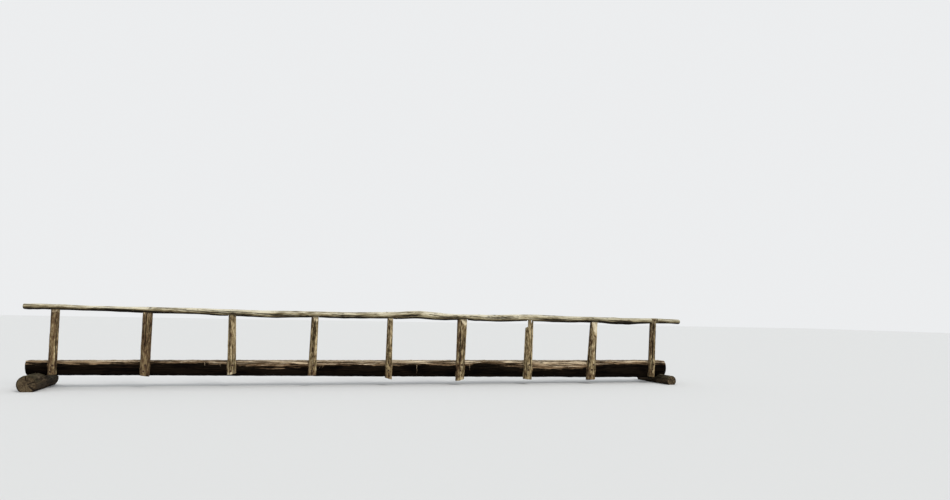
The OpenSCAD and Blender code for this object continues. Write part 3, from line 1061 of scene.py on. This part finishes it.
def bolt_hole(stand, spot):
    """Round hole that the head of a bolt sits in."""
    bpy.ops.object.select_all(action="DESELECT")
    bpy.ops.mesh.primitive_cylinder_add(
        vertices=24, radius=hole_r, depth=drill_length, rotation=(pi / 2, 0, 0))
    bpy.ops.object.transform_apply(rotation=True)
    cutter = bpy.context.object
    middle = spot + Vector((0, hole_depth - drill_length / 2, 0))
    cutter.data.transform(stand @ Matrix.Translation(middle))
    return cutter


# %% Posts: the split and broken top
def torn(cutter, seed):
    """Give a cutter many faces and the roughness of torn fibre."""
    select_only(cutter)
    bpy.ops.object.mode_set(mode="EDIT")
    bpy.ops.mesh.select_all(action="SELECT")
    bpy.ops.mesh.subdivide(number_cuts=19)
    bpy.ops.object.mode_set(mode="OBJECT")
    for vertex in cutter.data.vertices:
        x, y, z = vertex.co
        vertex.co.x += 0.006 * noise.noise(Vector((y * 60, z * 12, seed)))
        vertex.co.z += 0.024 * noise.noise(Vector((x * 60, y * 60, seed)))


def split_cutters(k, stand):
    """V-shaped split down through the top of a post, and its broken shoulder."""
    cap, reach, past_edge = seat_z(k) - tread_z, 0.12, 0.05
    front, back = -post_thick - 0.03, 0.03
    edge = -post_w(k, seat_z(k)) / 2
    wedge = block((-1, front, cap - split_h), (1, back, cap + reach))
    for vertex in wedge.data.vertices:
        half = split_w / 2 * (1 + reach / split_h) if vertex.co.z > cap else 0.0005
        vertex.co.x = split_off + half * vertex.co.x
    shoulder = block((edge - past_edge, front, cap - broken_h), (edge + broken_w, back, cap + reach))
    for vertex in shoulder.data.vertices:
        if vertex.co.x < edge and vertex.co.z < cap:
            vertex.co.z -= broken_fall * (1 + past_edge / broken_w)
    for seed, cutter in enumerate((wedge, shoulder)):
        torn(cutter, 5 + seed)
        cutter.data.transform(stand)
    return [wedge, shoulder]


# %% Posts: make them
for post_number in range(last + 1):
    make_post(post_number)

# %% [markdown]
# ## The handrail
# Two peeled poles make the handrail. They were never straight. They have
# bleached and silvered on top, with painted light there as well, they are
# painted dark underneath as shade, and they have opened in long cracks. Over
# the fifth post they are half-lapped: the left pole keeps its lower half and
# the right pole its upper half. Just past the lap the right pole humps up.

# %% Handrail: sizes
pole_columns, pole_cuts = 64, 520

# Long open cracks: from and to in bays, place around, width
long_cracks = {
    "rail_pole_thin": [(2.28, 2.86, 0.53, 0.034), (0.4, 0.9, 0.47, 0.018), (3.2, 3.75, 0.52, 0.020),
                       (1.3, 2.0, 0.51, 0.016)],
    "rail_pole_butt": [(4.12, 4.42, 0.52, 0.046), (4.5, 4.95, 0.49, 0.022), (5.42, 5.80, 0.50, 0.026),
                       (5.95, 6.5, 0.53, 0.018), (6.30, 6.95, 0.54, 0.024), (7.20, 7.62, 0.49, 0.030)],
}

# How much darker than usual the rail is on its sides, every half bay
rail_shade = [0.3, 0.4, 0.7, 0.6, 0.1, 0, -0.1, 0.2, 0.3, 0.2, 0.1, 0.1, -0.1, -0.1, 0, 0.5, 1.0,
              0.6, 0.3]


# %% Handrail: poles
def make_pole(node, x_start, x_end, radius_at, rise_at, seed):
    """Crooked pole before its joints are cut, with the function of its skin."""
    length = x_end - x_start
    girth = 2 * pi * radius_at((x_start + x_end) / 2)
    cracks = some_cracks(seed, 26, length, girth, reach=(0.3, 1.4), width=(0.009, 0.017))
    cracks += [(post_x(a) - x_start, post_x(b) - x_start, place * girth, width, 0.0)
               for a, b, place, width in long_cracks[node]]
    knots = some_knots(seed + 1, 18, length, girth, size=(0.034, 0.060), height=(0.006, 0.012))

    def heart(along):
        x = mix(x_start, x_end, along)
        return Vector((x, rail_y(x), rail_top(x) - radius_at(x) + rise_at(x)))

    def skin(along, around):
        x = mix(x_start, x_end, along)
        turn = 2 * pi * around
        up, out = sin(turn), cos(turn)
        r = radius_at(x)
        crack = crack_at(cracks, x - x_start, around * girth, girth, twist=0.03)
        swell = 0.005 * fibre(x, r * out, r * up, seed, fine=40, coarse=10)
        swell += 0.006 * lumps(x * 2.6, out, up, seed)
        knot, core = knot_at(knots, x - x_start, around * girth, girth)
        swell += knot - 0.018 * crack
        swell -= 0.008 * clamp(1 - min(x - x_start, x_end - x) / 0.015) ** 2
        r += swell
        # Painted shade: the skin grows darker the more it faces down, with a wandering border, and more so
        # where rail_shade says
        shade = 0.16 * lumps(x * 1.4, 3.0, 0, seed) + 0.12 * noise.noise(Vector((x * 6, out * 2, seed)))
        stain_and_shade = (shade - 0.15 - up) / 0.50 + curve(rail_shade, half_bays(x))
        grey = clamp((bays(x) - 5.6) / 1.4) * 0.55 - 0.1 - 0.6 * clamp(stain_and_shade)
        return heart(along) + Vector((0, r * out, r * up)), max(crack, 0.5 * core), 0.0, stain_and_shade, grey

    pole = unit_timber(node + "_wood", pole_columns, pole_cuts, 6)
    reshape(pole, pole_columns, skin, heart, Vector((1, 0, 0)), seed)
    return pole, skin


def rail_seat_block(k):
    """Block for the flat under the rail that sits on post k."""
    z = seat_z(k)
    x = post_x(k) + (z - tread_z) * tan(post_lean[k])
    half = post_w(k, z) / 2 / cos(post_lean[k]) + side_room
    return block((x - half, -0.6, z - 0.3), (x + half, 0.3, z + fit))


def pole_straight(radius_at, rise_at):
    """Function that gives a point's place in the pole as if it were straight."""
    def straight(place):
        x = place.x
        return Vector((x, place.y - rail_y(x), place.z - (rail_top(x) - radius_at(x) + rise_at(x))))
    return straight


# %% Handrail: the thin-end pole
def no_rise(x):
    return 0.0


lap_x0, lap_x1 = post_x(lap_post) - lap_length / 2, post_x(lap_post) + lap_length / 2
thin_pole, thin_pole_skin = make_pole("rail_pole_thin", rail_x0, lap_x1, thin_pole_r, no_rise, 31)
carve(thin_pole, [rail_seat_block(k) for k in range(lap_post + 1)]
      + [block((lap_x0 - fit, -0.6, lap_z - fit / 2), (lap_x1 + 0.1, 0.3, lap_z + 0.3))])
finish_timber(thin_pole, "rail_pole_thin", rail_finish, pole_straight(thin_pole_r, no_rise), 55)

# %% Handrail: the butt-end pole
butt_pole, butt_pole_skin = make_pole("rail_pole_butt", lap_x0, rail_x1, butt_pole_r, hump_at, 47)
ear_half = post_w(last, seat_z(last)) / 2 / cos(post_lean[last]) + side_room
ear_x = post_x(last) + (seat_z(last) - tread_z) * tan(post_lean[last])
ear_y = dap_y(last) - post_thick + ear_thick
ear_low, ear_high = seat_z(last) - 0.1, seat_z(last) + 0.3
carve(butt_pole, [rail_seat_block(k) for k in range(lap_post + 1, last + 1)]
      + [block((lap_x0 - 0.1, -0.6, lap_z - 0.3), (lap_x1 + fit, 0.3, lap_z + fit / 2)),
         block((ear_x - ear_half, ear_y - 0.3, ear_low), (ear_x + ear_half, ear_y, ear_high))])
finish_timber(butt_pole, "rail_pole_butt", rail_finish, pole_straight(butt_pole_r, hump_at), 55)

# %% [markdown]
# ## The cross logs
# A short log lies across under each end. It is hewn flat where it beds on the
# ground and has a flat saddle on top for the long log. Bark still covers it,
# so its skin is rough and dark.

# %% Cross logs
sill_columns, sill_cuts = 80, 110


def make_sill(node, x, diameter, seat, seed):
    """Cross log under the log at x, with its flat base and its saddle."""
    r0 = diameter / 2
    centre = Vector((x, 0, r0 - sill_base_cut))
    girth = pi * diameter
    cracks = some_cracks(seed, 10, sill_length, girth, reach=(0.3, 0.9), width=(0.012, 0.024))
    knots = some_knots(seed + 1, 5, sill_length, girth, size=(0.03, 0.05), height=(0.006, 0.010))

    def heart(along):
        return centre + Vector((0, mix(-sill_length / 2, sill_length / 2, along), 0))

    def skin(along, around):
        turn = 2 * pi * around
        y = mix(-sill_length / 2, sill_length / 2, along)
        crack = crack_at(cracks, y + sill_length / 2, around * girth, girth)
        swell = 0.005 * noise.noise(Vector((y * 6, 9 * cos(turn), 9 * sin(turn) + seed)))
        swell += 0.004 * fibre(y, r0 * cos(turn), r0 * sin(turn), seed, fine=40, coarse=12)
        swell += knot_at(knots, y + sill_length / 2, around * girth, girth)[0] - 0.012 * crack - 0.003
        swell -= 0.008 * clamp(1 - (sill_length / 2 - abs(y)) / 0.015) ** 2
        r = r0 + swell
        patch = lumps(y * 3, cos(turn) * 2, sin(turn) * 2, seed)
        # Darker toward the bottom and greyer toward the top
        stain_and_shade = 0.4 - 0.6 * cos(turn) + 0.5 * patch
        grey = 0.5 * cos(turn) + 0.4 * patch
        return heart(along) + Vector((r * sin(turn), 0, r * cos(turn))), crack, 0.0, stain_and_shade, grey

    sill = unit_timber(node + "_wood", sill_columns, sill_cuts, 7)
    reshape(sill, sill_columns, skin, heart, Vector((0, 1, 0)), seed)
    top = diameter - sill_base_cut
    r_log = log_r(x)
    offset = r_log - log_seat_cut - (top - seat)
    half = sqrt(r_log ** 2 - offset ** 2) + side_room
    carve(sill, [block((x - 0.5, -1, -0.5), (x + 0.5, 1, 0)),
                 block((x - 0.5, log_y(x) - half, seat - fit), (x + 0.5, log_y(x) + half, top + 0.3))])

    def straight(place):
        return Vector((place.y + x, place.x - centre.x, place.z - centre.z))

    finish_timber(sill, node, sill_finish, straight)


make_sill("sill_thin", sill_thin_x, sill_thin_d, seat_thin_z, 71)
make_sill("sill_butt", sill_butt_x, sill_butt_d, seat_butt_z, 83)

# %% [markdown]
# ## Bolts, spikes and pins
# Two lag bolts hold each post in its housing, sunk in round holes so that
# nothing catches on them. A spike goes down through the rail into each post,
# two go through the lap, and a bolt holds the ear of the last post to the
# rail. Drift pins hold the log to the cross logs. All of it is small and
# rusty. Each kind is modelled once, with bevelled edges, and then copied.

# %% Rusty steel
rust_finish = bpy.data.materials.new("rusty_steel")
rust_finish.use_nodes = True
rust = rust_finish.node_tree
rust_shader = rust.nodes["Principled BSDF"]
rust_place = add_node(rust, "ShaderNodeTexCoord", {}).outputs["Object"]
rust_blooms = add_node(rust, "ShaderNodeTexNoise",
                       {"Vector": rust_place, "Scale": 160.0, "Detail": 5.0}).outputs[0]
rust_pits = add_node(rust, "ShaderNodeTexNoise",
                     {"Vector": rust_place, "Scale": 900.0, "Detail": 3.0}).outputs[0]
rust_tones = three_tones(rust, spread(rust, rust_blooms, 0.35, 0.65), paint(40, 30, 25), paint(72, 48, 35),
                         paint(106, 69, 44))
rust.links.new(rust_tones, rust_shader.inputs["Base Color"])
rust_height = calc(rust, "MULTIPLY_ADD", rust_blooms, 1.0, rust_pits)
rust_bump = add_node(rust, "ShaderNodeBump", {"Height": rust_height, "Strength": 0.5, "Distance": 0.001})
rust.links.new(rust_bump.outputs[0], rust_shader.inputs["Normal"])
rust_rough = add_node(rust, "ShaderNodeMapRange", {0: rust_pits, 1: 0.3, 2: 0.7, 3: 0.62, 4: 0.9})
rust.links.new(rust_rough.outputs[0], rust_shader.inputs["Roughness"])
rust_shader.inputs["Metallic"].default_value = 0.35


# %% Steel pieces
def steel_disc(sides, radius, height, bevel, lift=0.0):
    """Disc or hexagon on z = lift, with softened edges."""
    bpy.ops.object.select_all(action="DESELECT")
    middle = (0, 0, lift + height / 2)
    bpy.ops.mesh.primitive_cylinder_add(vertices=sides, radius=radius, depth=height, location=middle)
    bpy.ops.object.transform_apply(location=True)
    disc = bpy.context.object
    bpy.ops.object.modifier_add(type="BEVEL")
    softened = disc.modifiers[-1]
    softened.width = bevel
    softened.segments = 3
    softened.limit_method = "ANGLE"
    softened.angle_limit = radians(50)
    bpy.ops.object.modifier_apply(modifier=softened.name)
    disc.data.materials.append(rust_finish)
    bpy.ops.object.shade_smooth_by_angle(angle=radians(35))
    return disc


def joined(name, pieces):
    """Join several pieces into one, under a new name."""
    bpy.ops.object.select_all(action="DESELECT")
    for piece in pieces:
        piece.select_set(True)
    bpy.context.view_layer.objects.active = pieces[0]
    bpy.ops.object.join()
    pieces[0].name = name
    pieces[0].data.name = name
    return pieces[0]


washer_r, washer_high = 0.019, 0.003
head_flats, head_high, head_sunk = 0.025, 0.012, 0.0004
spike_r, spike_high = 0.0105, 0.006
washer = steel_disc(36, washer_r, washer_high, 0.0008)
hexagon = steel_disc(6, head_flats / 2 / cos(pi / 6), head_high, 0.0018, washer_high - head_sunk)
lag_bolt = joined("lag_bolt", [washer, hexagon])
spike_head = steel_disc(20, spike_r, spike_high, 0.0024)
spike_head.name = "spike_head"


def fix(kind, name, place, outward, turn=0.0):
    """Copy a steel piece to a place, with its top facing outward."""
    select_only(kind)
    bpy.ops.object.duplicate()
    copy = bpy.context.object
    copy.name = name
    copy.data.name = name
    facing = outward.to_track_quat("Z", "Y").to_matrix().to_4x4()
    copy.data.transform(Matrix.Translation(place) @ facing @ Matrix.Rotation(turn, 4, "Z"))
    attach(copy, "root")


# %% Fix the posts
turns = Random(4)
washer_gap = 0.0005
for k in range(last + 1):
    stand = post_frame(k)
    front = stand.to_3x3() @ Vector((0, -1, 0))
    for number, spot in enumerate(bolt_spots):
        floor_of_hole = spot + Vector((0, hole_depth - fit - washer_gap, 0))
        fix(lag_bolt, f"bolt_{k + 1}_{number + 1}", stand @ floor_of_hole, front, turns.uniform(0, 1))

ear_stand = post_frame(last)
ear_bolt_in, ear_bolt_up = 0.006, 0.055
ear_bolt = ear_stand @ Vector((0, -post_thick + ear_bolt_in, seat_z(last) - tread_z + ear_bolt_up))
fix(lag_bolt, "ear_bolt", ear_bolt, ear_stand.to_3x3() @ Vector((0, -1, 0)), 0.4)

# %% Fix the rail and the log
spike_sunk, lap_spike_off, pin_off = 0.004, 0.09, 0.06


def drive_down(name, skin_at, along, around):
    """Drive a spike down into a timber, so that only its head shows."""
    place = skin_at(along, around)[0]
    fix(spike_head, name, place - Vector((0, 0, spike_sunk)), Vector((0, 0, 1)))


spike_xs = [post_x(k) + (seat_z(k) - tread_z) * tan(post_lean[k]) for k in range(last)]
lap_x = spike_xs[lap_post]
spike_xs[lap_post:lap_post + 1] = [lap_x - lap_spike_off, lap_x + lap_spike_off]
for number, x in enumerate(spike_xs):
    on_butt = x > lap_x0
    start, end = (lap_x0, rail_x1) if on_butt else (rail_x0, lap_x1)
    skin_at = butt_pole_skin if on_butt else thin_pole_skin
    drive_down(f"rail_spike_{number + 1}", skin_at, (x - start) / (end - start), 0.25)

for end, x in (("thin", sill_thin_x), ("butt", sill_butt_x)):
    half_width = log_r(x) * sin(acos((log_r(x) - hewn_depth) / log_r(x)))
    for side, y in (("near", -pin_off), ("far", pin_off)):
        column = (half_width - y) / (2 * half_width) * tread_columns
        drive_down(f"drift_pin_{end}_{side}", log_skin, (x - log_x0) / log_length, column / log_sides)
bpy.data.objects.remove(lag_bolt)
bpy.data.objects.remove(spike_head)
print("steel pieces:", 2 * (last + 1) + 1 + len(spike_xs) + 4)

# %% [markdown]
# ## Loose splinters
# Where the hewing tore the edge of the log, a few slivers of outer wood have
# come away and hang down over the dark side. Each is a flattened cylinder with
# two pointed ends. A ray from the near side finds the log's skin at each
# height, so the sliver starts inside the wood, lies on the skin and then bends
# away from it.

# %% Splinters
# Where each hangs, in bays from the first post, how long it is, and how far
# its tip drifts along the log
splinters = [(1.68, 0.080, 0.008), (1.74, 0.045, -0.008), (1.86, 0.090, 0.014), (3.10, 0.110, -0.030),
             (3.14, 0.090, -0.036), (4.38, 0.220, 0.006), (5.13, 0.170, -0.006), (6.62, 0.060, 0.012)]
splinter_cuts = 24


def make_splinter(number, place, length, drift):
    """Sliver that starts in the skin of the log, hangs down and bends away."""
    x = post_x(place)
    start = tread_z - curve(pale_depth, half_bays(x)) + 0.004
    skin_y = []
    for step in range(splinter_cuts + 1):
        eye = Vector((x, -1, start - length * step / splinter_cuts))
        skin_y.append(log_piece.ray_cast(eye, Vector((0, 1, 0)))[1].y)
    sliver = unit_timber(f"splinter_{number}", 10, splinter_cuts, 2)
    marks = new_marks(sliver.data)
    for vertex in sliver.data.vertices:
        a, b, down = vertex.co
        bent = 0.010 * noise.noise(Vector((down * 2.3, number, 0.5))) * down
        y = skin_y[round(clamp(down) * splinter_cuts)]
        y += mix(0.006, -0.003, clamp(down * 5)) - (0.020 + bent) * down ** 2
        across = x + drift * down ** 1.4 + 0.004 * noise.noise(Vector((down * 4, number, 2)))
        width = 0.0046 * min(1, 0.25 + down * 5) * (1 - 0.9 * down ** 1.5)
        width *= 1 + 0.3 * noise.noise(Vector((down * 9, number, a)))
        vertex.co = (across + a * width, y + b * width * 0.4, start - length * down)
        for layer, value in zip(marks, (0.0, 0.3, -0.1, 0.5, 0.0)):
            layer.data[vertex.index].value = value
    finish_timber(sliver, None, log_finish, lambda spot: Vector((spot.z, spot.x, spot.y)))


for number, (place, length, drift) in enumerate(splinters):
    make_splinter(number + 1, place, length, drift)
